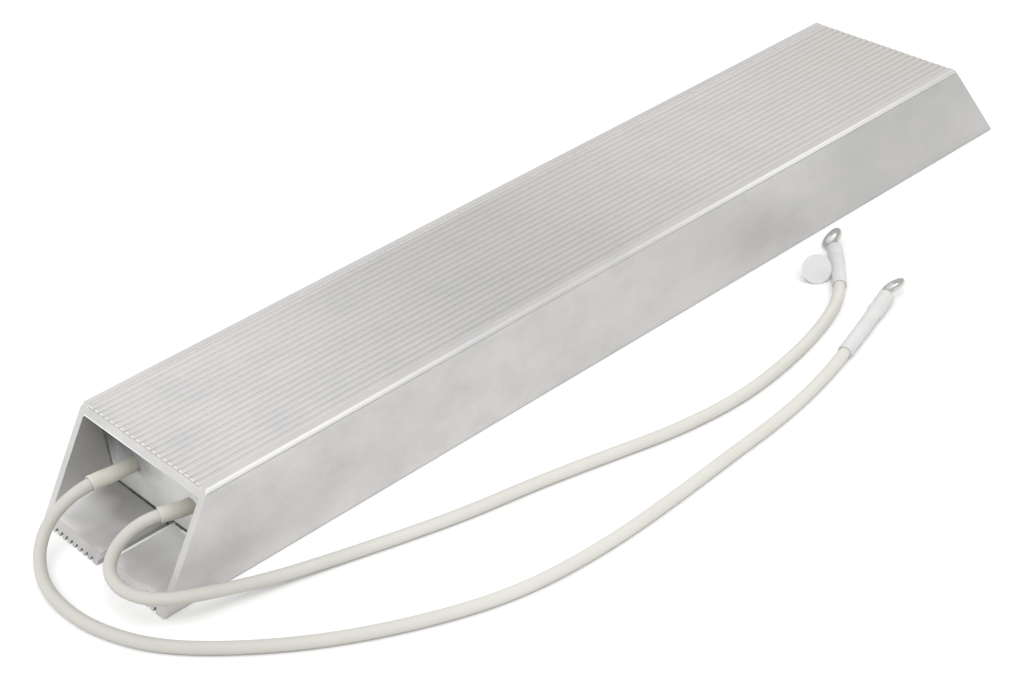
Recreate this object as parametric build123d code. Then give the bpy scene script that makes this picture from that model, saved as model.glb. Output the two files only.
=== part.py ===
from build123d import *

import os
from math import ceil, cos, pi, radians, sin, tan

# Flat braking resistor in an extruded aluminium housing, in millimetres.
# Origin: middle of the housing's underside. Y runs along the housing, Z is up, and both leads
# leave the open end at -Y. "Left" is -X and "right" is +X.

# Housing extrusion
housing_length = 335.0  # along the underside
housing_width = 60.0
housing_height = 30.0
end_slope_run = 20.0  # how far the top edge of each mitred end stands back from the bottom edge
side_wall = 2.5
roof_thickness = 2.8
foot_thickness = 3.0
foot_gap = 4.6  # the fixing slot between the two feet
bottom_corner_radius = 0.5
chamber_corner_radius = 0.8

# Reeded top, with one bright bead along each upper edge
rib_pitch = 2.54
rib_width = 1.97
rib_height = 0.5
top_margin = 3.0  # least smooth band beside the ribs
bead_radius = 0.9
bead_groove_width = 0.5
bead_groove_depth = 0.25

# Fine grooves under the feet
foot_groove_width = 1.3
foot_groove_depth = 1.1
slot_land = 1.0  # least plain band beside the slot
outer_land = 3.0  # least plain band beside the outer edge

# End plates
plate_setback = 23.0  # from the end of the underside to the outer face
plate_thickness = 3.0
chamber_fit = 0.1  # all round between the chamber and what fills it

# Mica lining and filling
mica_thickness = 0.5
filling_fit = 0.1
filling_side_wall = 1.45  # between a winding's pocket and the side of the filling
filling_middle_wall = 4.1  # between the two pockets

# Winding cards and their ribbon
card_thickness = 1.0
card_near_gap = 14.5  # from the near plate to the card
card_far_gap = 9.0  # from the card to the far plate
ribbon_width = 3.0
ribbon_thickness = 0.4
ribbon_pitch = 6.2
ribbon_fit = 0.1
ribbon_tail = 10.0  # straight end that lies under a tab or the link
pocket_fit = 0.15

# Tabs, link and rivets
tab_width = 5.0
tab_thickness = 0.6
barrel_radius = 1.6
barrel_length = 8.0
barrel_depth = 6.0
barrel_plate_gap = 1.0
rivet_diameter = 2.0
rivet_head_diameter = 3.6
rivet_head_height = 0.7
rivet_fit = 0.05

# Leads, sleeves and terminals
lead_diameter = 3.5
conductor_diameter = 1.9
lead_height = 15.0  # inside the housing
bend_share = 0.45  # part of the shorter run that each bend takes
sleeve_diameter = 4.6
sleeve_bore = 3.9
sleeve_hole_fit = 0.05
sleeve_inner_length = 0.6  # behind the near plate
left_sleeve_reach = 14.0  # in front of the near plate
right_sleeve_reach = 9.5
shrink_wall = 0.35
shrink_fit = 0.05
shrink_shoulder = 1.5
left_shrink_lap = 22.2  # over the lead, before the terminal's barrel
right_shrink_lap = 11.7
shrink_over_terminal = 8.8
terminal_barrel_diameter = 4.1
terminal_barrel_length = 7.0
terminal_bore_depth = 6.0
terminal_neck_length = 2.0  # from the round barrel to the flat tongue
terminal_neck_width = 3.6
ring_diameter = 7.4
ring_hole_diameter = 4.3
ring_thickness = 0.8
ring_reach = 6.2  # from the heat-shrink to the middle of the ring
left_ring_roll = 29.0
right_ring_roll = 42.0
tag_diameter = 9.0
tag_thickness = 0.25
tag_lean = 57.0  # from the horizontal
tag_turn = 52.0  # from the leads' end towards +X

LEFT, RIGHT = -1, 1

# Worked out from the sizes above
near_end_y = -housing_length / 2
far_end_y = housing_length / 2
roof_underside = housing_height - roof_thickness
rib_count = int((housing_width - 2 * top_margin - (rib_pitch - rib_width)) / rib_pitch)
near_plate_y = near_end_y + plate_setback
far_plate_y = far_end_y - plate_setback
chamber_near_y = near_plate_y + plate_thickness
chamber_far_y = far_plate_y - plate_thickness
chamber_width = housing_width - 2 * side_wall
filling_edge = chamber_fit + mica_thickness + filling_fit
filling_half_width = chamber_width / 2 - filling_edge
pocket_half_width = (filling_half_width - filling_side_wall - filling_middle_wall / 2) / 2
lead_offset = filling_middle_wall / 2 + pocket_half_width  # of lead and card from the middle plane
card_width = 2 * (pocket_half_width - pocket_fit - ribbon_thickness - ribbon_fit)
card_near_y = chamber_near_y + card_near_gap
card_far_y = chamber_far_y - card_far_gap
card_top = lead_height + card_thickness / 2
ribbon_top = card_top + ribbon_fit + ribbon_thickness
ribbon_reach = ribbon_top - lead_height  # from the card's middle to the ribbon's outer face
lead_radius = lead_diameter / 2
crimp_distance = plate_setback + plate_thickness + barrel_plate_gap


def near(x, distance, z):
    """A point given by its distance from the near end of the underside."""
    return Vector(x, near_end_y + distance, z)


# Each lead's route, from its crimp in the housing to the heat-shrink: out through the sleeve, down
# over the foot and along the surface that the resistor stands on.
left_route = [
    near(-lead_offset, crimp_distance, lead_height),
    near(-lead_offset, crimp_distance - 8.5, lead_height),
    near(-14.0, 8.0, 16.5),
    near(-15.5, -2.8, 12.1),
    near(-12.6, -10.2, 6.5),
    near(-3.5, -15.3, 2.75),
    near(9.0, -16.4, 1.75),
    near(22.5, -14.8, 1.75),
    near(38.5, -8.5, 1.75),
    near(54.0, 4.5, 1.75),
    near(69.5, 22.5, 1.75),
    near(82.5, 44.5, 1.75),
    near(91.4, 67.0, 1.75),
    near(94.3, 92.5, 1.75),
    near(93.6, 118.0, 1.75),
    near(91.7, 143.0, 1.75),
    near(90.5, 163.0, 1.75),
    near(87.8, 181.0, 1.75),
    near(82.8, 201.1, 2.35),
    near(76.1, 220.8, 2.65),
]
right_route = [
    near(lead_offset, crimp_distance, lead_height),
    near(lead_offset, crimp_distance - 6.5, lead_height),
    near(12.8, 14.1, 16.8),
    near(10.1, 7.6, 15.3),
    near(10.7, 0.4, 12.9),
    near(15.3, -5.0, 11.3),
    near(22.0, -6.7, 10.4),
    near(28.3, -5.1, 9.8),
    near(33.6, -0.8, 9.1),
    near(36.6, 5.7, 8.0),
    near(38.3, 15.0, 5.5),
    near(41.0, 27.5, 2.9),
    near(45.5, 43.5, 1.75),
    near(51.5, 61.5, 1.75),
    near(57.0, 80.0, 1.75),
    near(61.0, 100.0, 1.75),
    near(66.8, 121.5, 1.75),
    near(73.0, 143.5, 1.75),
    near(75.4, 167.0, 1.75),
    near(72.6, 190.0, 1.75),
    near(67.6, 209.3, 1.75),
    near(60.6, 224.5, 2.35),
    near(50.2, 234.1, 2.65),
]
tag_middle = near(48.5, 226.7, 3.85)


def block(low, high):
    """A box between two opposite corners."""
    size = [b - a for a, b in zip(low, high)]
    middle = [(a + b) / 2 for a, b in zip(low, high)]
    return Pos(*middle) * Box(*size)


def along_y(section, near_y, far_y):
    """A section, drawn x across and y up, extruded along the housing."""
    return Pos(0, (near_y + far_y) / 2, 0) * extrude(
        Plane.XZ * section, amount=(far_y - near_y) / 2, both=True
    )


def chamber_section(gap):
    """The hollow of the extrusion, smaller by a gap all round."""
    height = roof_underside - foot_thickness
    outline = RectangleRounded(
        chamber_width - 2 * gap, height - 2 * gap, chamber_corner_radius
    )
    return Pos(0, foot_thickness + height / 2) * outline


def rib_profiles():
    """Round-backed ribs, each standing on the floor of the valleys beside it."""
    rib_radius = (rib_width**2 / 4 + rib_height**2) / (2 * rib_height)
    first_x = -(rib_count - 1) / 2 * rib_pitch
    return [
        Pos(first_x + i * rib_pitch, housing_height - rib_radius) * Circle(rib_radius)
        for i in range(rib_count)
    ]


def foot_grooves():
    """Round-bottomed grooves under both feet, in step with the ribs."""
    radius = foot_groove_width / 2
    straight = foot_groove_depth - radius
    first = ceil((foot_gap / 2 + slot_land + radius) / rib_pitch)
    last = int((housing_width / 2 - outer_land - radius) / rib_pitch)
    groove = Pos(0, straight) * Circle(radius)
    groove += Pos(0, straight / 2) * Rectangle(foot_groove_width, straight)
    return [
        Pos(side * i * rib_pitch, 0) * groove
        for side in (LEFT, RIGHT)
        for i in range(first, last + 1)
    ]


def housing_section():
    """Cross-section of the extrusion: ribbed roof, side walls and two feet turned inward."""
    profile = Pos(0, housing_height / 2) * Rectangle(housing_width, housing_height)
    profile = fillet(profile.vertices().sort_by(Axis.Y)[:2], bottom_corner_radius)
    profile = fillet(profile.vertices().sort_by(Axis.Y)[-2:], bead_radius)
    rib_field = rib_count * rib_pitch + (rib_pitch - rib_width)
    profile -= Pos(0, housing_height - rib_height / 2) * Rectangle(rib_field, rib_height)
    profile += rib_profiles()
    profile -= chamber_section(0)
    profile -= Pos(0, foot_thickness / 2) * Rectangle(foot_gap, 2 * foot_thickness)
    profile -= foot_grooves()
    groove_height = housing_height - bead_radius - bead_groove_width / 2
    for side in (LEFT, RIGHT):
        profile -= Pos(side * housing_width / 2, groove_height) * Rectangle(
            2 * bead_groove_depth, bead_groove_width
        )
    return profile


def make_housing():
    """The extrusion, with both ends mitred so that the top is shorter than the underside."""
    bar = along_y(housing_section(), near_end_y, far_end_y)
    side_view = Polyline(
        (near_end_y, 0),
        (far_end_y, 0),
        (far_end_y - end_slope_run, housing_height),
        (near_end_y + end_slope_run, housing_height),
        close=True,
    )
    envelope = extrude(Plane.YZ * make_face(side_view), amount=housing_width, both=True)
    return bar & envelope


def make_end_plate(near_y):
    """A board that closes the hollow of the extrusion."""
    return along_y(chamber_section(chamber_fit), near_y, near_y + plate_thickness)


def make_mica_liner():
    """A folded sheet that lines the feet, the slot and both side walls."""
    height = roof_underside - foot_thickness
    inner_width = chamber_width - 2 * (chamber_fit + mica_thickness)
    tray = chamber_section(chamber_fit)
    tray -= Pos(0, foot_thickness + chamber_fit + mica_thickness + height / 2) * Rectangle(
        inner_width, height
    )
    top_sheet_room = chamber_fit + mica_thickness + filling_fit
    tray -= Pos(0, roof_underside) * Rectangle(housing_width, 2 * top_sheet_room)
    return along_y(tray, chamber_near_y + chamber_fit, chamber_far_y - chamber_fit)


def make_top_mica_sheet():
    """A flat sheet between the filling and the roof, inside the chamber's round corners."""
    half = chamber_width / 2 - chamber_corner_radius
    top = roof_underside - chamber_fit
    return block(
        (-half, chamber_near_y + chamber_fit, top - mica_thickness),
        (half, chamber_far_y - chamber_fit, top),
    )


def make_sand_filling():
    """The bonded filling, with a pocket for each wound card and for the parts at its ends."""
    near_y = chamber_near_y + chamber_fit
    far_y = chamber_far_y - chamber_fit
    filling = block(
        (-filling_half_width, near_y, foot_thickness + filling_edge),
        (filling_half_width, far_y, roof_underside - filling_edge),
    )
    wide = pocket_half_width
    deep = ribbon_reach + pocket_fit
    narrow = max(tab_width / 2, sleeve_diameter / 2) + pocket_fit
    high = max(
        ribbon_reach + tab_thickness + rivet_head_height, barrel_radius, sleeve_diameter / 2
    ) + pocket_fit
    tab_end_y = card_near_y + ribbon_tail
    link_near_y = card_far_y - ribbon_tail
    for side in (LEFT, RIGHT):
        x = side * lead_offset
        filling -= block(
            (x - wide, card_near_y - pocket_fit, lead_height - deep),
            (x + wide, card_far_y + pocket_fit, lead_height + deep),
        )
        filling -= block(
            (x - narrow, near_y, lead_height - high),
            (x + narrow, tab_end_y + pocket_fit, lead_height + high),
        )
    reach = lead_offset + tab_width / 2 + pocket_fit
    filling -= block(
        (-reach, link_near_y - pocket_fit, lead_height - high),
        (reach, card_far_y + pocket_fit, lead_height + high),
    )
    return filling


def rivet_hole(x, y):
    """What a rivet needs cut through tab, ribbon and card."""
    radius = rivet_diameter / 2 + rivet_fit
    return Pos(x, y, lead_height) * Cylinder(radius, 4 * (ribbon_reach + tab_thickness))


def tab_rivet_y():
    return card_near_y + ribbon_tail / 2


def link_rivet_y():
    return card_far_y - ribbon_tail / 2


def make_winding_card(side):
    """The mica card that carries one winding."""
    x = side * lead_offset
    card = block(
        (x - card_width / 2, card_near_y, lead_height - card_thickness / 2),
        (x + card_width / 2, card_far_y, card_top),
    )
    return card - rivet_hole(x, tab_rivet_y()) - rivet_hole(x, link_rivet_y())


def strap(start, end, bottom):
    """One slanted pass of the ribbon across the card."""
    half = ribbon_width / 2
    outline = Polyline(
        (start[0], start[1] - half),
        (end[0], end[1] - half),
        (end[0], end[1] + half),
        (start[0], start[1] + half),
        close=True,
    )
    return extrude(Pos(0, 0, bottom) * make_face(outline), amount=ribbon_thickness)


def make_winding(side):
    """One continuous ribbon wound round the card, with a straight tail at each end."""
    x = side * lead_offset
    inner = card_width / 2 + ribbon_fit
    outer = inner + ribbon_thickness
    low = lead_height - ribbon_reach
    start_y = card_near_y + ribbon_tail + ribbon_width
    end_y = card_far_y - ribbon_tail - ribbon_width
    turns = int((end_y - start_y) / ribbon_pitch)
    top = ribbon_top - ribbon_thickness
    last_y = start_y + turns * ribbon_pitch
    pieces = [strap((x, start_y), (x + outer, start_y + ribbon_pitch / 4), top)]
    for turn in range(turns):
        right_y = start_y + (turn + 0.25) * ribbon_pitch
        left_y = start_y + (turn + 0.75) * ribbon_pitch
        for edge_x, edge_y in ((x + inner, right_y), (x - outer, left_y)):
            pieces.append(
                block(
                    (edge_x, edge_y - ribbon_width / 2, low),
                    (edge_x + ribbon_thickness, edge_y + ribbon_width / 2, ribbon_top),
                )
            )
        pieces.append(strap((x + outer, right_y), (x - outer, left_y), low))
        if turn < turns - 1:
            next_y = right_y + ribbon_pitch
            pieces.append(strap((x - outer, left_y), (x + outer, next_y), top))
    pieces.append(strap((x - outer, last_y - ribbon_pitch / 4), (x, last_y), top))
    half = ribbon_width / 2
    pieces.append(block((x - half, card_near_y, top), (x + half, start_y + half, ribbon_top)))
    pieces.append(block((x - half, last_y - half, top), (x + half, card_far_y, ribbon_top)))
    winding = pieces[0].fuse(*pieces[1:])
    return winding - rivet_hole(x, tab_rivet_y()) - rivet_hole(x, link_rivet_y())


def make_terminal_tab(side):
    """A crimp barrel for the lead, with a flat tongue that is riveted over the ribbon's tail."""
    x = side * lead_offset
    mouth_y = chamber_near_y + barrel_plate_gap
    turned = Rot(90, 0, 0)
    barrel = Pos(x, mouth_y + barrel_length / 2, lead_height) * turned * Cylinder(
        barrel_radius, barrel_length
    )
    bore = Pos(x, mouth_y + barrel_depth / 2, lead_height) * turned * Cylinder(
        conductor_diameter / 2 + rivet_fit, barrel_depth
    )
    tongue = block(
        (x - tab_width / 2, mouth_y + barrel_length, ribbon_top),
        (x + tab_width / 2, card_near_y + ribbon_tail, ribbon_top + tab_thickness),
    )
    root = block(
        (x - barrel_radius, mouth_y + barrel_depth, lead_height),
        (x + barrel_radius, card_near_y - pocket_fit, ribbon_top + tab_thickness),
    )
    return barrel + tongue + root - bore - rivet_hole(x, tab_rivet_y())


def make_far_link():
    """The strap that joins both windings at the far end."""
    reach = lead_offset + tab_width / 2
    link = block(
        (-reach, card_far_y - ribbon_tail, ribbon_top),
        (reach, card_far_y, ribbon_top + tab_thickness),
    )
    for side in (LEFT, RIGHT):
        link -= rivet_hole(side * lead_offset, link_rivet_y())
    return link


def make_rivet(x, y):
    """A solid rivet with a low tapered head above the tab and another under the card."""
    top = ribbon_top + tab_thickness
    bottom = lead_height - card_thickness / 2
    head = Pos(0, 0, rivet_head_height / 2) * Cone(
        rivet_head_diameter / 2, rivet_diameter / 2, rivet_head_height
    )
    shank = Pos(0, 0, (top + bottom) / 2) * Cylinder(rivet_diameter / 2, top - bottom)
    rivet = shank + Pos(0, 0, top) * head + Pos(0, 0, bottom) * Rot(180, 0, 0) * head
    return Pos(x, y, 0) * rivet


def bend_radii(route):
    """As large an arc at each point as its two runs allow."""
    radii = []
    for before, point, after in zip(route, route[1:], route[2:]):
        run_in = point - before
        run_out = after - point
        half_turn = radians(run_in.get_angle(run_out)) / 2
        radii.append(bend_share * min(run_in.length, run_out.length) / tan(half_turn))
    return radii


def lead_path(route):
    """Straight runs joined by tangent arcs."""
    return FilletPolyline(*route, radius=bend_radii(route))


def stretch(path, start, end):
    """The part of a path between two distances along it."""
    return path.trim(start / path.length, end / path.length)


def tube_along(path, outer_radius, inner_radius=0.0):
    """A round tube, or a solid rod where there is no inner radius."""
    section = Circle(outer_radius)
    if inner_radius:
        section -= Circle(inner_radius)
    start = Plane(origin=path @ 0, z_dir=path % 0)
    return sweep(start * section, path=path)


def rod(origin, direction, radius, length):
    """A round rod that starts at a point and runs in a direction."""
    start = Plane(origin=origin, z_dir=direction)
    return extrude(start * Circle(radius), amount=length)


def make_lead(route):
    """One insulated lead, with a bared conductor at each end."""
    path = lead_path(route)
    lead = tube_along(path, lead_radius)
    equal_length = lead.volume / (pi * lead_radius**2)
    print(f"lead: path {path.length:.1f} mm, volume over section {equal_length:.1f} mm")
    print("bends, radius over diameter:", [round(r / lead_diameter, 1) for r in bend_radii(route)])
    conductor_radius = conductor_diameter / 2
    lead += rod(path @ 0, -(path % 0), conductor_radius, barrel_depth - rivet_fit)
    lead += rod(path @ 1, path % 1, conductor_radius, terminal_bore_depth - rivet_fit)
    return lead


def sleeve_path(route, reach):
    """The stretch of a lead's path that its sleeve covers."""
    path = lead_path(route)
    start = barrel_plate_gap - sleeve_inner_length
    return stretch(path, start, start + sleeve_inner_length + plate_thickness + reach)


def make_sleeve(route, reach):
    """A woven sleeve round the lead, where it passes the near plate."""
    return tube_along(sleeve_path(route, reach), sleeve_diameter / 2, sleeve_bore / 2)


def make_near_plate():
    """The board at the leads' end, with a hole for each sleeve."""
    plate = make_end_plate(near_plate_y)
    for route, reach in ((left_route, left_sleeve_reach), (right_route, right_sleeve_reach)):
        plate -= tube_along(sleeve_path(route, reach), sleeve_diameter / 2 + sleeve_hole_fit)
    return plate


def terminal_frame(route):
    """Frame at the lead's end: z along the terminal and y upright."""
    path = lead_path(route)
    along = path % 1
    return Plane(origin=path @ 1, x_dir=Vector(0, 0, 1).cross(along), z_dir=along)


def make_heat_shrink(route, lap):
    """A shrunk sleeve: snug on the lead, a short shoulder, then over the terminal's barrel."""
    path = lead_path(route)
    lead_bore = lead_radius + shrink_fit
    barrel_bore = terminal_barrel_diameter / 2 + shrink_fit
    straight = 2 * shrink_shoulder
    snug = stretch(path, path.length - lap, path.length - straight)
    profile = Polyline(
        (lead_bore, -straight),
        (lead_bore + shrink_wall, -straight),
        (lead_bore + shrink_wall, -shrink_shoulder),
        (barrel_bore + shrink_wall, 0),
        (barrel_bore + shrink_wall, shrink_over_terminal),
        (barrel_bore, shrink_over_terminal),
        (barrel_bore, 0),
        (lead_bore, -shrink_shoulder),
        close=True,
    )
    over_terminal = revolve(Plane.XZ * make_face(profile), Axis.Z)
    snug_part = tube_along(snug, lead_bore + shrink_wall, lead_bore)
    return snug_part + terminal_frame(route) * over_terminal


def make_ring_terminal(route, roll):
    """A crimp ring terminal: round barrel, pressed neck and a flat ring."""
    outer_radius = terminal_barrel_diameter / 2
    barrel = extrude(Circle(outer_radius), amount=terminal_barrel_length)
    barrel -= extrude(
        Circle(conductor_diameter / 2 + rivet_fit), amount=terminal_bore_depth
    )
    neck_end = terminal_barrel_length + terminal_neck_length
    neck = loft(
        [
            Pos(0, 0, terminal_barrel_length) * Circle(outer_radius),
            Pos(0, 0, neck_end) * Rectangle(terminal_neck_width, ring_thickness),
        ]
    )
    ring_distance = shrink_over_terminal + ring_reach
    tongue = Pos(0, (neck_end + ring_distance) / 2) * Rectangle(
        terminal_neck_width, ring_distance - neck_end
    )
    ring = Pos(0, ring_distance) * Circle(ring_diameter / 2)
    hole = Pos(0, ring_distance) * Circle(ring_hole_diameter / 2)
    flat = extrude(Plane.XZ * (tongue + ring - hole), amount=ring_thickness / 2, both=True)
    return terminal_frame(route) * Rot(0, 0, -roll) * (barrel + neck + flat)


def make_round_tag():
    """A thin blank disc that leans against the right heat-shrink."""
    lean = radians(tag_lean)
    turn = radians(tag_turn)
    facing = Vector(sin(lean) * sin(turn), -sin(lean) * cos(turn), cos(lean))
    disc = Plane(origin=tag_middle, z_dir=facing) * Circle(tag_diameter / 2)
    return extrude(disc, amount=tag_thickness / 2, both=True)


parts = {
    "housing": make_housing(),
    "near_end_plate": make_near_plate(),
    "far_end_plate": make_end_plate(far_plate_y - plate_thickness),
    "mica_liner": make_mica_liner(),
    "top_mica_sheet": make_top_mica_sheet(),
    "sand_filling": make_sand_filling(),
    "far_link": make_far_link(),
    "left_sleeve": make_sleeve(left_route, left_sleeve_reach),
    "right_sleeve": make_sleeve(right_route, right_sleeve_reach),
    "left_lead": make_lead(left_route),
    "right_lead": make_lead(right_route),
    "left_heat_shrink": make_heat_shrink(left_route, left_shrink_lap),
    "right_heat_shrink": make_heat_shrink(right_route, right_shrink_lap),
    "left_ring_terminal": make_ring_terminal(left_route, left_ring_roll),
    "right_ring_terminal": make_ring_terminal(right_route, right_ring_roll),
    "round_tag": make_round_tag(),
}
for side_name, side in (("left", LEFT), ("right", RIGHT)):
    x = side * lead_offset
    parts[f"{side_name}_winding_card"] = make_winding_card(side)
    parts[f"{side_name}_resistance_winding"] = make_winding(side)
    parts[f"{side_name}_terminal_tab"] = make_terminal_tab(side)
    parts[f"{side_name}_tab_rivet"] = make_rivet(x, tab_rivet_y())
    parts[f"{side_name}_link_rivet"] = make_rivet(x, link_rivet_y())

os.makedirs("parts", exist_ok=True)
for name, part in parts.items():
    export_step(part, f"parts/{name}.step")
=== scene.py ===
import math

import bmesh
import bpy
from mathutils import Matrix, Vector, noise


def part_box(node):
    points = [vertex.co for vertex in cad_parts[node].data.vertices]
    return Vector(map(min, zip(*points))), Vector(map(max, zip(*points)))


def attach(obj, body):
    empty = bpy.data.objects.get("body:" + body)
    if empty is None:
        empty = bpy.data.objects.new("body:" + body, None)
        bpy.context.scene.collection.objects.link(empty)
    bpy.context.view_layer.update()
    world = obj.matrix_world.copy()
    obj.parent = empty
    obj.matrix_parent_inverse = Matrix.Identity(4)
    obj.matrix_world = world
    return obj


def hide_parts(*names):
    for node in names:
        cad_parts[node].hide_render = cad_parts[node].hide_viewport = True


# Flat braking resistor in an extruded aluminium housing. Everything is in metres, in the frame of
# the housing: origin in the middle of its underside, Y along it, Z up, both leads leaving at -Y.

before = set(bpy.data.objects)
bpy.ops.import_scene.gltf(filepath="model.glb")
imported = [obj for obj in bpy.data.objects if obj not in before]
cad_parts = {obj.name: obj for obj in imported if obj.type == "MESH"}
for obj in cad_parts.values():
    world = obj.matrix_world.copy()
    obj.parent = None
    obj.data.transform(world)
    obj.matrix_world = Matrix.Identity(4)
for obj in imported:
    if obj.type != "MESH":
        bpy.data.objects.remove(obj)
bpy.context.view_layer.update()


# ---------------------------------------------------------------------------------------------
# Housing
# One bare aluminium extrusion with a reeded top, sawn at a slant at both ends and tumbled to a
# soft satin. The die leaves faint lines along it, and stacking and handling leave cloudy stains.
# ---------------------------------------------------------------------------------------------

aluminium = (0.61, 0.60, 0.59)
# painted light: a lighter aluminium for the near part of the side walls
aluminium_lit = (0.68, 0.67, 0.66)
# painted light: a warmer aluminium tint for the ribs towards the far end
aluminium_warm_lit = (0.62, 0.595, 0.565)
aluminium_stained = (0.54, 0.54, 0.545)
# painted shade: a darker aluminium for the parts in shade
aluminium_shaded = (0.36, 0.36, 0.345)
# the grey of the die lines, also used as painted shade on the far part of the side walls
die_line_and_shade_grey = (0.49, 0.49, 0.49)
# painted shade: the grey of grooves, the underside and the walls' bottom edge in shade
painted_shade_grey = (0.34, 0.34, 0.33)
# painted highlights: the near-white of glints on the feet, edges and cut faces
highlight_white = (0.97, 0.97, 0.96)
# a pale grey for the line in front of the near board, also painted light on the right foot
pale_and_painted_light_grey = (0.80, 0.80, 0.78)
# painted shade: the near-black of the gap by the near board
gap_dark = (0.05, 0.05, 0.045)
housing_low, housing_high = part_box("housing")
near_end_y = housing_low[1]
far_end_y = housing_high[1]
housing_half_width = housing_high[0]
housing_height = housing_high[2]
slope = 20.0 / 30.0  # how far the mitred ends lean back for each unit of height
just_past = 0.0001  # how far past a face a band reaches, so that the face is in it
rib_field_half_width = 0.02697
top_shade_wave = 33.0  # painted shade: the top darkens and brightens again along it, in radians to the metre
top_shade_start = 5.53
bead_radius = 0.0009
bead_groove_low = 0.0286
bead_groove_high = 0.0291
rib_height = 0.0005
foot_groove_depth = 0.0011
foot_thickness = 0.003
chamber_half_width = 0.0275
roof_underside = 0.0272
board_outer_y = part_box("near_end_plate")[0][1]
joint_width = 0.0006  # painted shade: the dark gap where the housing meets the near board
foot_light_reach = 0.0145  # how far the painted light reaches on the right foot in front of the board
far_wall_start = 0.07  # painted shade: from here on the side walls are darker, most of all near the top


class Socket:
    """A value in a material. Plain arithmetic on it adds the maths nodes."""

    def __init__(self, tree, link):
        self.tree = tree
        self.link = link

    def math(self, operation, *values):
        node = self.tree.nodes.new("ShaderNodeMath")
        node.operation = operation
        for place, value in enumerate(values):
            if isinstance(value, Socket):
                self.tree.links.new(value.link, node.inputs[place])
            else:
                node.inputs[place].default_value = value
        return Socket(self.tree, node.outputs[0])

    def __add__(self, other):
        return self.math("ADD", self, other)

    def __radd__(self, other):
        return self.math("ADD", other, self)

    def __sub__(self, other):
        return self.math("SUBTRACT", self, other)

    def __rsub__(self, other):
        return self.math("SUBTRACT", other, self)

    def __mul__(self, other):
        return self.math("MULTIPLY", self, other)

    def __rmul__(self, other):
        return self.math("MULTIPLY", other, self)

    def __gt__(self, other):
        return self.math("GREATER_THAN", self, other)

    def __lt__(self, other):
        return self.math("LESS_THAN", self, other)

    def sine(self):
        return self.math("SINE", self)

    def clamped(self):
        return self.math("MINIMUM", self.math("MAXIMUM", self, 0.0), 1.0)


class Finish:
    """A material under construction, with its one surface shader."""

    def __init__(self, name, roughness=0.5, metallic=0.0, specular=0.5):
        self.material = bpy.data.materials.new(name)
        self.material.use_nodes = True
        self.tree = self.material.node_tree
        self.shader = self.tree.nodes["Principled BSDF"]
        self.give("Roughness", roughness)
        self.give("Metallic", metallic)
        self.give("Specular IOR Level", specular)

    def give(self, socket, value):
        """Set one socket of the surface shader to a value, a colour or a link."""
        target = self.shader.inputs[socket]
        if isinstance(value, Socket):
            self.tree.links.new(value.link, target)
        elif isinstance(value, tuple):
            target.default_value = (*value, 1.0)
        else:
            target.default_value = value

    def node(self, kind, settings, **sockets):
        """Any node: its settings first, then what its sockets hold."""
        node = self.tree.nodes.new("ShaderNode" + kind)
        for name, value in settings.items():
            setattr(node, name, value)
        for name, value in sockets.items():
            wanted = name.replace("_", " ")
            target = [s for s in node.inputs if s.name == wanted and s.enabled][0]
            if isinstance(value, Socket):
                self.tree.links.new(value.link, target)
            elif isinstance(value, tuple) and target.type == "RGBA":
                target.default_value = (*value, 1.0)
            else:
                target.default_value = value
        return Socket(self.tree, [s for s in node.outputs if s.enabled][0])

    def place(self, stretch=(1.0, 1.0, 1.0)):
        """Where a point lies on the object, in metres, squeezed by a factor along each axis."""
        here = self.tree.nodes.new("ShaderNodeTexCoord").outputs["Object"]
        return self.node(
            "Mapping", {}, Vector=Socket(self.tree, here), Scale=Vector(stretch)
        )

    def axis(self, which):
        """One coordinate of the place, in metres."""
        split = self.tree.nodes.new("ShaderNodeSeparateXYZ")
        self.tree.links.new(self.place().link, split.inputs[0])
        return Socket(self.tree, split.outputs["XYZ".index(which)])

    def cloud(self, size, detail=3.0, roughness=0.55, stretch=(1.0, 1.0, 1.0)):
        """Soft variation between 0 and 1, whose blobs are about that size in metres."""
        return self.node(
            "TexNoise",
            {},
            Vector=self.place(stretch),
            Scale=1.0 / size,
            Detail=detail,
            Roughness=roughness,
        )

    def blend(self, amount, first, second):
        """One colour turning into another."""
        return self.node("Mix", {"data_type": "RGBA"}, Factor=amount, A=first, B=second)

    def bump(self, height, depth, strength=1.0):
        """Surface relief: a height between 0 and 1 times a depth in metres."""
        self.give("Normal", self.node("Bump", {}, Height=height, Distance=depth, Strength=strength))


def dress(node, material):
    """Give a solid of the frame its finish, in place of its plain one."""
    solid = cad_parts[node]
    for slot in solid.material_slots:
        slot.material = material


def within(value, low, high):
    """1 where a value lies between two limits, 0 elsewhere."""
    return (value > low) * (value < high)


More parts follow.
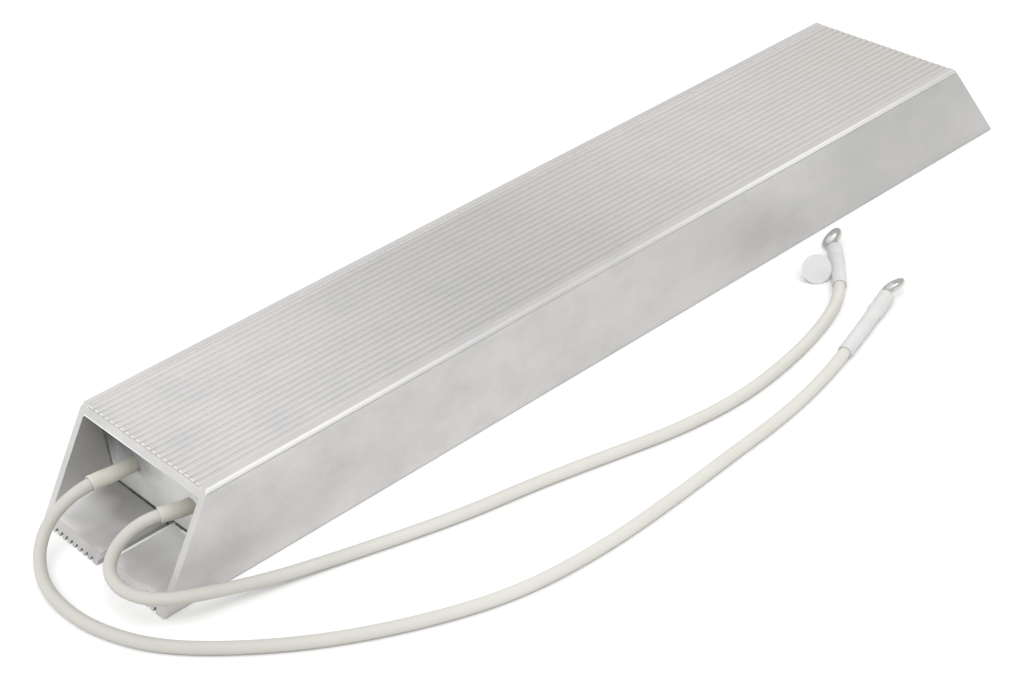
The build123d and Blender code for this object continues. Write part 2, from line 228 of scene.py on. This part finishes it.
def extrusion_finish():
    """Satin aluminium: die lines and stains, with painted light and shade along it, painted shade
    in grooves, recesses and gaps, painted highlights on edges, feet and cut faces, and a pale line
    by the near board.
    """
    finish = Finish("satin_extrusion", metallic=1.0)
    stain = finish.cloud(0.011, detail=4.0, roughness=0.6, stretch=(1.0, 0.75, 1.0))
    broad = finish.cloud(0.06, detail=2.0)
    die_line = finish.cloud(0.0016, detail=2.0, stretch=(1.0, 0.012, 1.0))
    grain = finish.cloud(0.0006, detail=2.0)
    x = finish.axis("X")
    y = finish.axis("Y")
    z = finish.axis("Z")
    across = x.math("ABSOLUTE", x)
    from_cut = y.math("MINIMUM", y - near_end_y - z * slope, far_end_y - y - z * slope)

    worn = ((stain - 0.40) * 2.0 + (broad - 0.5) * 0.6).clamped()
    tone = finish.blend(worn, aluminium, aluminium_stained)
    tone = finish.blend(((die_line - 0.5) * 1.6).clamped() * 0.35, tone, die_line_and_shade_grey)
    # Painted shade along the top: the ribs darken and brighten again along the length, and the
    # bead's painted highlight dims where they darken.
    top_shade_along = 0.5 - 0.5 * (y * top_shade_wave + top_shade_start).sine()
    in_field = across < rib_field_half_width - 0.0004
    on_ribs = in_field * (z > housing_height - rib_height - 0.0002)
    tone = finish.blend(on_ribs * top_shade_along * 0.38, tone, aluminium_shaded)
    far_share = ((y + 0.06) * 5.0).clamped()
    # Painted light: the ribs take a warmer tint towards the far end.
    tone = finish.blend(on_ribs * far_share * 0.5, tone, aluminium_warm_lit)
    wall = (across > housing_half_width - 0.00003) * (z < bead_groove_low)
    # Painted light: the side walls are lighter towards the near end, broken up by the stains.
    near_wall_light = wall * (1.0 - far_share) * (1.3 - 1.6 * stain).clamped()
    tone = finish.blend(near_wall_light, tone, aluminium_lit)
    # Painted shade: the side walls turn greyer towards the far end, and darker still past
    # far_wall_start, most of all near the top.
    tone = finish.blend(wall * far_share * 0.3, tone, die_line_and_shade_grey)
    far_wall_shade = wall * ((y - far_wall_start) * 40.0).clamped()
    far_wall_shade = far_wall_shade * (0.24 + (z - 0.014) * 10.0).clamped()
    tone = finish.blend(far_wall_shade, tone, aluminium_shaded)
    # Painted shade: a dark line along the bottom edge of each side wall, stronger towards the far
    # end.
    hem_shade = wall * (1.0 - z * 1300.0).clamped()
    tone = finish.blend(hem_shade * (0.25 + 0.5 * far_share), tone, painted_shade_grey)

    inside = (across < chamber_half_width + just_past) * (z < roof_underside + just_past)
    on_foot = inside * (z < foot_thickness + just_past)
    # Painted shade inside the chamber: its walls and roof darker in patches, and the feet darker in
    # patches and deeper in from the cut.
    drift = finish.cloud(0.02, detail=1.0)
    dull = ((drift - 0.4) * 3.5 + (stain - 0.5) * 0.6).clamped()
    tone = finish.blend((inside - on_foot) * (0.12 + 0.28 * dull), tone, aluminium_shaded)
    deep_shade = ((from_cut - 0.008) * 80.0).clamped()
    tone = finish.blend(on_foot * (dull * 0.3 + deep_shade * 0.35), tone, aluminium_shaded)
    # Painted highlight: a bright patch on the front of the feet near the cut, strongest on the
    # left, broken up by the drift cloud.
    gleam = ((0.43 - drift) * 4.0 + (0.0085 - from_cut) * 100.0 - x * 25.0 - 0.15).clamped()
    gleam = gleam * on_foot * (from_cut > 0.0002)
    tone = finish.blend(gleam * 0.85, tone, highlight_white)

    # Painted shade in the grooves between the ribs, darker near the cut faces.
    valley_shade = on_ribs * (housing_height - rib_height * 0.55 - z) * 6000.0
    by_cut = (1.0 - from_cut * 350.0).clamped()
    tone = finish.blend(valley_shade.clamped() * (0.07 + 0.3 * by_cut), tone, painted_shade_grey)
    # Painted highlights: bright lines at the step beside the rib field, along the corner bead,
    # dimmed where the top is shaded, and in the groove under the bead.
    step = within(across, rib_field_half_width - 0.00015, rib_field_half_width + 0.00005)
    step = step * within(z, housing_height - rib_height - 0.0003, housing_height - 0.00004)
    corner = (across > housing_half_width - bead_radius) * (z > housing_height - bead_radius)
    groove = within(z, bead_groove_low, bead_groove_high) * (across > housing_half_width - 0.0004)
    groove = groove * (across < housing_half_width - 0.00002)
    edge_highlight = (step * 0.7 + corner * (0.5 - 0.45 * top_shade_along) + groove * 0.6).clamped()
    tone = finish.blend(edge_highlight, tone, highlight_white)
    # Painted shade on the underside and in the grooves under the feet, away from the cut faces.
    low = within(z, -1.0, foot_groove_depth + just_past) * (across < housing_half_width - 0.0006)
    tone = finish.blend(low * (from_cut > 0.00015) * 0.85, tone, painted_shade_grey)

    # Painted glints at the cut faces: on the ends of the ribs and along the roof's lower edge,
    # strongest on the left.
    at_cut = (1.0 - from_cut * 9000.0).clamped()
    rib_end_glint = in_field * (z > housing_height - rib_height * 0.8) * at_cut
    tone = finish.blend(rib_end_glint * 0.35, tone, highlight_white)
    roof_edge_glint = within(z, roof_underside, roof_underside + 0.0003) * (across < chamber_half_width)
    roof_edge_glint = roof_edge_glint * at_cut
    tone = finish.blend(roof_edge_glint * ((0.012 - x) * 60.0).clamped() * 0.45, tone, highlight_white)

    # Painted shade in the gap where the housing meets the near board, broken up by the stains,
    # fainter above the feet.
    joint_shade = inside * within(y, board_outer_y - joint_width, board_outer_y + just_past)
    above_foot = z > foot_thickness + 0.0002
    joint_shade = joint_shade * (stain * 1.6 + grain * 0.8 - 0.35 - above_foot * 0.4).clamped()
    tone = finish.blend(joint_shade, tone, gap_dark)
    # A pale line on the right foot just in front of the near board.
    smear = within(y, board_outer_y - 0.0013, board_outer_y - 0.00045) * (x > 0.006) * inside
    tone = finish.blend(smear * 0.8, tone, pale_and_painted_light_grey)
    # Painted light: a pale patch on the right foot in front of the near board.
    foot_light = on_foot * (x > 0.001) * ((y - board_outer_y + foot_light_reach) * 110.0).clamped()
    foot_light = foot_light * (y < board_outer_y - joint_width) * (0.35 + 0.6 * stain)
    tone = finish.blend(foot_light.clamped() * 0.8, tone, pale_and_painted_light_grey)

    finish.give("Base Color", tone)
    bared = (smear * 0.7 + joint_shade * 0.8 + foot_light * 0.55 + gleam * 0.35).clamped()
    finish.give("Metallic", 1.0 - bared)
    finish.give("Roughness", 0.46 + 0.14 * stain + 0.08 * grain + 0.15 * at_cut)
    finish.bump(die_line * 0.6 + grain * 0.4, 0.00003, 0.5)
    return finish.material


dress("housing", extrusion_finish())


# ---------------------------------------------------------------------------------------------
# End boards
# Two pressed fibre-cement boards, three millimetres thick, pushed into the chamber and left bare.
# They are pale and slightly mottled, with a fine chalky grain.
# ---------------------------------------------------------------------------------------------

board_half_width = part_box("near_end_plate")[1][0]
board_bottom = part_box("near_end_plate")[0][2]
board_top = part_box("near_end_plate")[1][2]
board_grey = (0.53, 0.53, 0.52)
board_mottle = (0.46, 0.46, 0.45)
# painted light: the lighter grey of the board's lit part
board_lit_grey = (0.75, 0.75, 0.73)
# painted shadow: the dark of the board's upper left corner
board_shadow_grey = (0.11, 0.11, 0.115)
# painted shade: the near-black of the gap round the board
gap_shade_dark = (0.06, 0.06, 0.055)


def board_finish():
    """Pale mineral board: chalky grain, grey mottling, painted light on its right part, a painted
    shadow in its upper left corner and painted shade in the gap round it.
    """
    finish = Finish("mineral_board", specular=0.25)
    mottle = finish.cloud(0.006, detail=3.0)
    grain = finish.cloud(0.0005, detail=2.0)
    x = finish.axis("X")
    z = finish.axis("Z")
    tone = finish.blend(((mottle - 0.35) * 1.8).clamped(), board_grey, board_mottle)
    # Painted shade in the gap round the board's edges, broken up by the mottling.
    in_side = board_half_width - x.math("ABSOLUTE", x)
    in_end = z.math("MINIMUM", z - board_bottom, board_top - z)
    seam = in_side.math("MAXIMUM", 0.9 - in_side * 3200.0, 1.4 - in_end * 2000.0)
    seam = (seam - mottle * 0.8).clamped()
    # Painted light on the board's right part, above its bottom edge.
    from_left = x + board_half_width
    pale = ((from_left - 0.018) * 45.0).clamped() * ((z - 0.005) * 120.0).clamped()
    tone = finish.blend(pale * 0.8, tone, board_lit_grey)
    # Painted shadow in the board's upper left corner, under the roof, with a mottled edge.
    outward = from_left * 34.0
    downward = (board_top - z) * 66.0
    roof_shadow = 1.35 - outward * outward - downward * downward + (mottle - 0.5) * 0.8
    tone = finish.blend(roof_shadow.clamped() * 0.9, tone, board_shadow_grey)
    finish.give("Base Color", finish.blend(seam, tone, gap_shade_dark))
    finish.give("Roughness", 0.62 + 0.2 * grain)
    finish.bump(grain, 0.00006, 0.6)
    return finish.material


mineral_board = board_finish()
for board in ("near_end_plate", "far_end_plate"):
    dress(board, mineral_board)


# ---------------------------------------------------------------------------------------------
# Leads
# Two limp leads of stranded copper under cream silicone rubber, 3.5 mm thick. Each leaves the
# near end through its sleeve, drops over the foot and lies on the surface beside the housing.
# ---------------------------------------------------------------------------------------------

lead_diameter = 0.0035
cream_rubber = (0.585, 0.582, 0.535)
cream_rubber_shade = (0.525, 0.52, 0.47)
cream_rubber_warm = (0.575, 0.555, 0.52)
# a darker cream that the leads take towards the near end
cream_rubber_near_dark = (0.39, 0.38, 0.35)
dark_stretch = 0.065  # the darker part of each lead ends this far past the near end


def near(x, distance, z=lead_diameter / 2):
    """A point by its distance from the near end, lying on the surface if no height is given."""
    return Vector((x, near_end_y + distance, z))


lead_routes = {
    "left": [
        near(-0.0137, 0.0270, 0.0150),
        near(-0.0137, 0.0185, 0.0150),
        near(-0.0140, 0.0080, 0.0165),
        near(-0.0155, -0.0028, 0.0121),
        near(-0.0126, -0.0102, 0.0065),
        near(-0.0035, -0.0153, 0.00275),
        near(0.0090, -0.0164),
        near(0.0225, -0.0148),
        near(0.0385, -0.0085),
        near(0.0540, 0.0045),
        near(0.0695, 0.0225),
        near(0.0825, 0.0445),
        near(0.0914, 0.0670),
        near(0.0943, 0.0925),
        near(0.0936, 0.1180),
        near(0.0917, 0.1430),
        near(0.0905, 0.1630),
        near(0.0878, 0.1810),
        near(0.0828, 0.2011, 0.00235),
        near(0.0761, 0.2208, 0.00265),
    ],
    "right": [
        near(0.0137, 0.0270, 0.0150),
        near(0.0137, 0.0205, 0.0150),
        near(0.0128, 0.0141, 0.0168),
        near(0.0101, 0.0076, 0.0153),
        near(0.0107, 0.0004, 0.0129),
        near(0.0153, -0.0050, 0.0113),
        near(0.0220, -0.0067, 0.0104),
        near(0.0283, -0.0051, 0.0098),
        near(0.0336, -0.0008, 0.0091),
        near(0.0366, 0.0057, 0.0080),
        near(0.0383, 0.0150, 0.0055),
        near(0.0410, 0.0275, 0.0029),
        near(0.0455, 0.0435),
        near(0.0515, 0.0615),
        near(0.0570, 0.0800),
        near(0.0610, 0.1000),
        near(0.0668, 0.1215),
        near(0.0730, 0.1435),
        near(0.0754, 0.1670),
        near(0.0726, 0.1900),
        near(0.0676, 0.2093),
        near(0.0606, 0.2245, 0.00235),
        near(0.0502, 0.2341, 0.00265),
    ],
}


def rubber_finish():
    """Matt silicone: cream, a little cloudy, and darker towards the near end."""
    finish = Finish("cream_silicone", specular=0.35)
    cloud = finish.cloud(0.014, detail=2.0)
    fine = finish.cloud(0.0009, detail=3.0)
    smear = ((cloud - 0.4) * 1.8).clamped()
    tone = finish.blend(smear * 0.7, cream_rubber, cream_rubber_shade)
    warm = ((finish.cloud(0.03, detail=1.0) - 0.42) * 4.0).clamped()
    tone = finish.blend(warm * 0.8, tone, cream_rubber_warm)
    # The leads are darker towards the near end.
    bent_part = ((near_end_y + dark_stretch - finish.axis("Y")) * 15.0).clamped()
    finish.give("Base Color", finish.blend(bent_part * 0.6, tone, cream_rubber_near_dark))
    finish.give("Roughness", 0.46 + 0.16 * cloud)
    finish.bump(fine, 0.00004, 0.5)
    return finish.material


def placed(name, data):
    """A new object in the scene, made from its data."""
    thing = bpy.data.objects.new(name, data)
    bpy.context.scene.collection.objects.link(thing)
    return thing


def laid_line(name, route):
    """A smooth line with the route's points as its control points."""
    data = bpy.data.curves.new(name, "CURVE")
    data.dimensions = "3D"
    spline = data.splines.new("NURBS")
    spline.points.add(len(route) - 1)
    for point, place in zip(spline.points, route):
        point.co = (*place, 1.0)
    spline.order_u = 3
    spline.use_endpoint_u = True
    spline.resolution_u = 16
    return placed(name, data)


def places_along(line):
    """Places on a curve's own line, close together."""
    bare = bpy.data.meshes.new_from_object(line)
    places = [vertex.co.copy() for vertex in bare.vertices]
    bpy.data.meshes.remove(bare)
    return places


cream_silicone = rubber_finish()
leads = {}
lead_places = {}
for side, route in lead_routes.items():
    lead = laid_line(f"{side}_silicone_lead", route)
    lead_places[side] = places_along(lead)
    lead.data.bevel_depth = lead_diameter / 2
    lead.data.bevel_resolution = 8
    lead.data.use_fill_caps = True
    lead.data.materials.append(cream_silicone)
    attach(lead, "root")
    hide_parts(f"{side}_lead")
    leads[side] = lead


# ---------------------------------------------------------------------------------------------
# Sleeves
# Short pieces of woven glass-fibre sleeve over each lead where it passes the near board, just clear
# of its hole. They are cut square by hand, so the mouth stands open a little, with an uneven edge.
# ---------------------------------------------------------------------------------------------

sleeve_radius = 0.00221
sleeve_wall = 0.0003
sleeve_start = 0.0004
sleeve_lengths = {"left": 0.0176, "right": 0.0131}
glass_cream = (0.62, 0.61, 0.55)
glass_shade = (0.51, 0.50, 0.44)
# painted shade: the darker braid by the board
glass_in_shadow = (0.31, 0.30, 0.25)
weave_pitch = 5200.0  # radians to the metre


def stretch_of(places, start, end, steps):
    """Evenly spaced places and headings on a line between two distances along it."""
    marks = [0.0]
    for a, b in zip(places, places[1:]):
        marks.append(marks[-1] + (b - a).length)
    samples = []
    for step in range(steps + 1):
        wanted = start + (end - start) * step / steps
        i = max(j for j in range(len(places) - 1) if marks[j] <= wanted or j == 0)
        share = (wanted - marks[i]) / (marks[i + 1] - marks[i])
        heading = (places[i + 1] - places[i]).normalized()
        samples.append((places[i] + (places[i + 1] - places[i]) * share, heading))
    return samples


def skin_over(name, samples, radii, sides):
    """A skin of rings along a line. Each ring has a place, a heading and a radius per side."""
    mesh = bmesh.new()
    rings = []
    for (place, heading), ring_radii in zip(samples, radii):
        across = heading.cross(Vector((0, 0, 1))).normalized()
        upward = across.cross(heading)
        ring = []
        for i, radius in enumerate(ring_radii):
            turn = 2 * math.pi * i / sides
            ring.append(
                mesh.verts.new(place + radius * (math.cos(turn) * across + math.sin(turn) * upward))
            )
        rings.append(ring)
    for ring, following in zip(rings, rings[1:] + rings[:1]):
        for i in range(sides):
            j = (i + 1) % sides
            face = mesh.faces.new((ring[i], ring[j], following[j], following[i]))
            face.smooth = True
    bmesh.ops.recalc_face_normals(mesh, faces=mesh.faces)
    data = bpy.data.meshes.new(name)
    mesh.to_mesh(data)
    mesh.free()
    return placed(name, data)


def glass_finish():
    """Varnished glass braid: a fine diagonal weave, dull gloss, painted shade towards the board."""
    finish = Finish("glass_braid", specular=0.4)
    along = finish.axis("Y") * weave_pitch
    around = finish.axis("Z") * weave_pitch
    weave = (along + around).sine() * (along - around).sine()
    cloud = finish.cloud(0.003, detail=3.0)
    raised = weave * 0.5 + 0.5
    tone = finish.blend(raised * 0.35 + cloud * 0.45, glass_shade, glass_cream)
    # Painted shade towards the board, where the sleeves run in under the roof.
    board_end_shade = (0.75 + (finish.axis("Y") - board_outer_y) * 85.0).clamped()
    tone = finish.blend(board_end_shade * 0.8, tone, glass_in_shadow)
    finish.give("Base Color", tone)
    finish.give("Roughness", 0.42 + 0.2 * cloud)
    finish.bump(raised, 0.00008, 0.7)
    return finish.material


glass_braid = glass_finish()
for side, length in sleeve_lengths.items():
    sides = 48
    outer = stretch_of(lead_places[side], sleeve_start, sleeve_start + length, 40)
    samples = outer + outer[::-1]
    radii = []
    for step, (place, heading) in enumerate(samples):
        inside = step >= len(outer)
        left_to_mouth = abs(step - (len(outer) - 0.5)) / 40
        flare = 0.00012 * max(0.0, 1 - left_to_mouth / 0.12)
        ring = []
        for i in range(sides):
            turn = 2 * math.pi * i / sides
            ripple = noise.noise(Vector((3 * math.cos(turn), 3 * math.sin(turn), 900 * place.y)))
            ring.append(sleeve_radius + flare + 0.00005 * ripple - (sleeve_wall if inside else 0))
        radii.append(ring)
    sleeve = skin_over(f"{side}_glass_sleeve", samples, radii, sides)
    sleeve.data.materials.append(glass_braid)
    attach(sleeve, "root")
    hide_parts(f"{side}_sleeve")


# ---------------------------------------------------------------------------------------------
# Heat-shrinks
# White polyolefin tube shrunk over each lead's end and the barrel of its terminal. It is snug on
# the rubber and swells over the barrel. The crimp shows as a shallow dent in its outside alone.
# ---------------------------------------------------------------------------------------------

shrink_over_lead = 0.00215
shrink_over_barrel = 0.00245
shrink_wall = 0.00035
shrink_past_lead = 0.0088
shrink_laps = {"left": 0.0222, "right": 0.0117}
shrink_white = (0.61, 0.61, 0.605)
shrink_grey = (0.53, 0.53, 0.525)


def shrink_finish():
    """Shrunk white tube: satin, faintly wrinkled round its girth."""
    finish = Finish("white_shrink", specular=0.45)
    wrinkle = finish.cloud(0.0022, detail=3.0)
    cloud = finish.cloud(0.006, detail=2.0)
    finish.give("Base Color", finish.blend(cloud, shrink_white, shrink_grey))
    finish.give("Roughness", 0.36 + 0.18 * cloud)
    finish.bump(wrinkle, 0.00012, 0.6)
    return finish.material


white_shrink = shrink_finish()
for side, lap in shrink_laps.items():
    sides = 40
    places = lead_places[side]
    total = sum((b - a).length for a, b in zip(places, places[1:]))
    over_lead = stretch_of(places, total - lap, total, 36)
    tip, heading = over_lead[-1]
    over_barrel = [(tip + heading * shrink_past_lead * k / 24, heading) for k in range(1, 25)]
    outer = over_lead + over_barrel
    samples = outer + outer[::-1]
    radii = []
    for step, (place, _) in enumerate(samples):
        inside = step >= len(outer)
        past = (place - tip).dot(heading)
        swell = min(1.0, max(0.0, (past + 0.0016) / 0.0018))
        swell = swell * swell * (3 - 2 * swell)
        girth = shrink_over_lead + (shrink_over_barrel - shrink_over_lead) * swell
        crimp = math.exp(-(((past - 0.0036) / 0.0011) ** 2))
        ring = []
        for i in range(sides):
            turn = 2 * math.pi * i / sides
            dent = 0.00022 * crimp * max(0.0, math.sin(turn)) ** 2
            wave = 0.00005 * noise.noise(Vector((math.cos(turn), math.sin(turn), 500 * past)))
            ring.append(girth - shrink_wall if inside else girth - dent + wave)
        radii.append(ring)
    shrink = skin_over(f"{side}_shrunk_tube", samples, radii, sides)
    shrink.data.materials.append(white_shrink)
    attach(shrink, "root")
    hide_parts(f"{side}_heat_shrink")


# ---------------------------------------------------------------------------------------------
# Ring terminals
# Stamped from copper strip and tinned, with a ring for an M4 stud. The tin is bright, a little
# uneven, and duller where the tool has pressed it.
# ---------------------------------------------------------------------------------------------

tin_bright = (0.74, 0.74, 0.72)
tin_pressed = (0.58, 0.58, 0.55)


def tin_finish():
    """Bright tin plate with soft uneven patches."""
    finish = Finish("tin_plate", metallic=1.0)
    patch = finish.cloud(0.0018, detail=3.0)
    grain = finish.cloud(0.0003, detail=2.0)
    finish.give("Base Color", finish.blend(patch, tin_bright, tin_pressed))
    finish.give("Roughness", 0.26 + 0.2 * patch)
    finish.bump(grain, 0.00003, 0.5)
    return finish.material


tin_plate = tin_finish()
for side in leads:
    dress(f"{side}_ring_terminal", tin_plate)


# ---------------------------------------------------------------------------------------------
# Round tag
# A small blank disc of thin pale card that stands beside the right heat-shrink, just clear of it.
# ---------------------------------------------------------------------------------------------

card_pale = (0.64, 0.64, 0.65)
card_fibre = (0.56, 0.56, 0.57)


def card_finish():
    """Thin pale card with soft fibres."""
    finish = Finish("pale_card", specular=0.2)
    fibre = finish.cloud(0.0012, detail=4.0)
    finish.give("Base Color", finish.blend(fibre, card_pale, card_fibre))
    finish.give("Roughness", 0.6 + 0.2 * fibre)
    finish.bump(fibre, 0.00004, 0.4)
    return finish.material


dress("round_tag", card_finish())

for side, lead in leads.items():
    places = lead_places[side]


# ---------------------------------------------------------------------------------------------
# Parts inside the housing
# Mica sheets line the chamber and carry the windings, bonded quartz sand fills it, and plated
# straps and rivets join the ribbon to the leads. Only the mica shows, through the fixing slot.
# ---------------------------------------------------------------------------------------------

mica_brown = (0.42, 0.37, 0.28)
mica_silver = (0.62, 0.58, 0.48)
sand_pale = (0.74, 0.70, 0.60)
sand_dark = (0.46, 0.42, 0.35)
steel_tones = (0.40, 0.38, 0.35), (0.28, 0.26, 0.24)
nickel_tones = (0.62, 0.60, 0.56), (0.50, 0.48, 0.45)
rivet_tones = (0.58, 0.57, 0.55), (0.44, 0.43, 0.42)


def mica_finish():
    """Pressed mica: silvery brown flakes."""
    finish = Finish("pressed_mica", specular=0.5)
    flake = finish.cloud(0.0025, detail=4.0, roughness=0.7)
    finish.give("Base Color", finish.blend(flake, mica_brown, mica_silver))
    finish.give("Roughness", 0.3 + 0.3 * flake)
    finish.bump(flake, 0.00005, 0.5)
    return finish.material


def sand_finish():
    """Bonded quartz sand: pale grains of several tints."""
    finish = Finish("bonded_sand", specular=0.4)
    grains = finish.node("TexVoronoi", {}, Vector=finish.place(), Scale=1600.0)
    patch = finish.cloud(0.008)
    shade = (grains * 0.7 + patch * 0.5).clamped()
    finish.give("Base Color", finish.blend(shade, sand_pale, sand_dark))
    finish.give("Roughness", 0.7 + 0.2 * patch)
    finish.bump(grains, 0.0003, 0.8)
    return finish.material


def strip_finish(name, bright, dull, line_size):
    """Rolled metal strip with fine lines along it."""
    finish = Finish(name, metallic=1.0)
    rolled = finish.cloud(line_size, detail=2.0, stretch=(1.0, 0.06, 1.0))
    finish.give("Base Color", finish.blend(rolled, bright, dull))
    finish.give("Roughness", 0.3 + 0.25 * rolled)
    finish.bump(rolled, 0.00002, 0.5)
    return finish.material


pressed_mica = mica_finish()
for sheet in ("mica_liner", "top_mica_sheet", "left_winding_card", "right_winding_card"):
    dress(sheet, pressed_mica)
dress("sand_filling", sand_finish())
ribbon_steel = strip_finish("resistance_ribbon", *steel_tones, 0.0007)
strap_nickel = strip_finish("nickel_strap", *nickel_tones, 0.0009)
rivet_steel = strip_finish("rivet_steel", *rivet_tones, 0.0004)
dress("far_link", strap_nickel)
for side in ("left", "right"):
    dress(f"{side}_resistance_winding", ribbon_steel)
    dress(f"{side}_terminal_tab", strap_nickel)
    dress(f"{side}_tab_rivet", rivet_steel)
    dress(f"{side}_link_rivet", rivet_steel)


# ---------------------------------------------------------------------------------------------
# Studio
# A white sweep in even soft light from all round, a little stronger from above, seen by a long
# lens from the right of the leads' end.
# ---------------------------------------------------------------------------------------------

floor_reach = 40.0
floor_drop = 0.0001  # below the feet, so that the two faces don't fight
floor_white = (0.86, 0.86, 0.86)
daylight_white = (1.0, 1.0, 1.0)
lamp_white = (1.0, 0.975, 0.94)


def studio_floor():
    """A wide plain white sheet that the resistor lies on."""
    mesh = bpy.data.meshes.new("floor")
    signs = (-1, -1), (1, -1), (1, 1), (-1, 1)
    corners = [(a * floor_reach, b * floor_reach, 0) for a, b in signs]
    mesh.from_pydata(corners, [], [(0, 1, 2, 3)])
    floor = placed("floor", mesh)
    floor.location.z = -floor_drop
    white = Finish("white_sheet", roughness=0.9, specular=0.0)
    white.give("Base Color", floor_white)
    mesh.materials.append(white.material)


def aimed(name, data, place):
    """A light put at a place and turned to look at the resistor."""
    light = placed(name, data)
    light.location = place
    light.rotation_euler = (-Vector(place)).to_track_quat("-Z", "Y").to_euler()


def daylight(name, place, strength, softness):
    """Broad even light from a window wall far away."""
    data = bpy.data.lights.new(name, "SUN")
    data.energy = strength
    data.angle = math.radians(softness)
    aimed(name, data, place)


def softbox(name, place, size, power, colour=daylight_white):
    """A square soft light that looks at the resistor."""
    data = bpy.data.lights.new(name, "AREA")
    data.shape = "SQUARE"
    data.size = size
    data.energy = power
    data.color = colour
    aimed(name, data, place)


studio_floor()
daylight("window_light", (0.55, -0.35, 1.25), 1.5, 50)
softbox("end_light", (-0.7, -1.1, 0.45), 0.7, 2.5)
softbox("back_light", (-1.25, 0.05, 0.85), 0.7, 2.2, lamp_white)
softbox("far_light", (-0.35, 1.4, 0.62), 0.6, 1.8, lamp_white)
world = bpy.data.worlds.new("studio")
world.use_nodes = True
world.node_tree.nodes["Background"].inputs["Color"].default_value = (*daylight_white, 1.0)
world.node_tree.nodes["Background"].inputs["Strength"].default_value = 0.9
bpy.context.scene.world = world
bpy.context.scene.view_settings.view_transform = "Standard"

camera_place = Vector((0.41744, -0.34871, 0.34438))
camera_heading = math.radians(51.975)  # from +Y towards -X
camera_dip = math.radians(33.083)
camera_roll = math.radians(-6.511)
camera_data = bpy.data.cameras.new("camera")
camera_data.sensor_width = 36.0
camera_data.lens = 74.33
camera_data.clip_start = 0.01
camera = placed("camera", camera_data)
camera.matrix_world = (
    Matrix.Translation(camera_place)
    @ Matrix.Rotation(camera_heading, 4, "Z")
    @ Matrix.Rotation(math.pi / 2 - camera_dip, 4, "X")
    @ Matrix.Rotation(camera_roll, 4, "Z")
)
bpy.context.scene.camera = camera
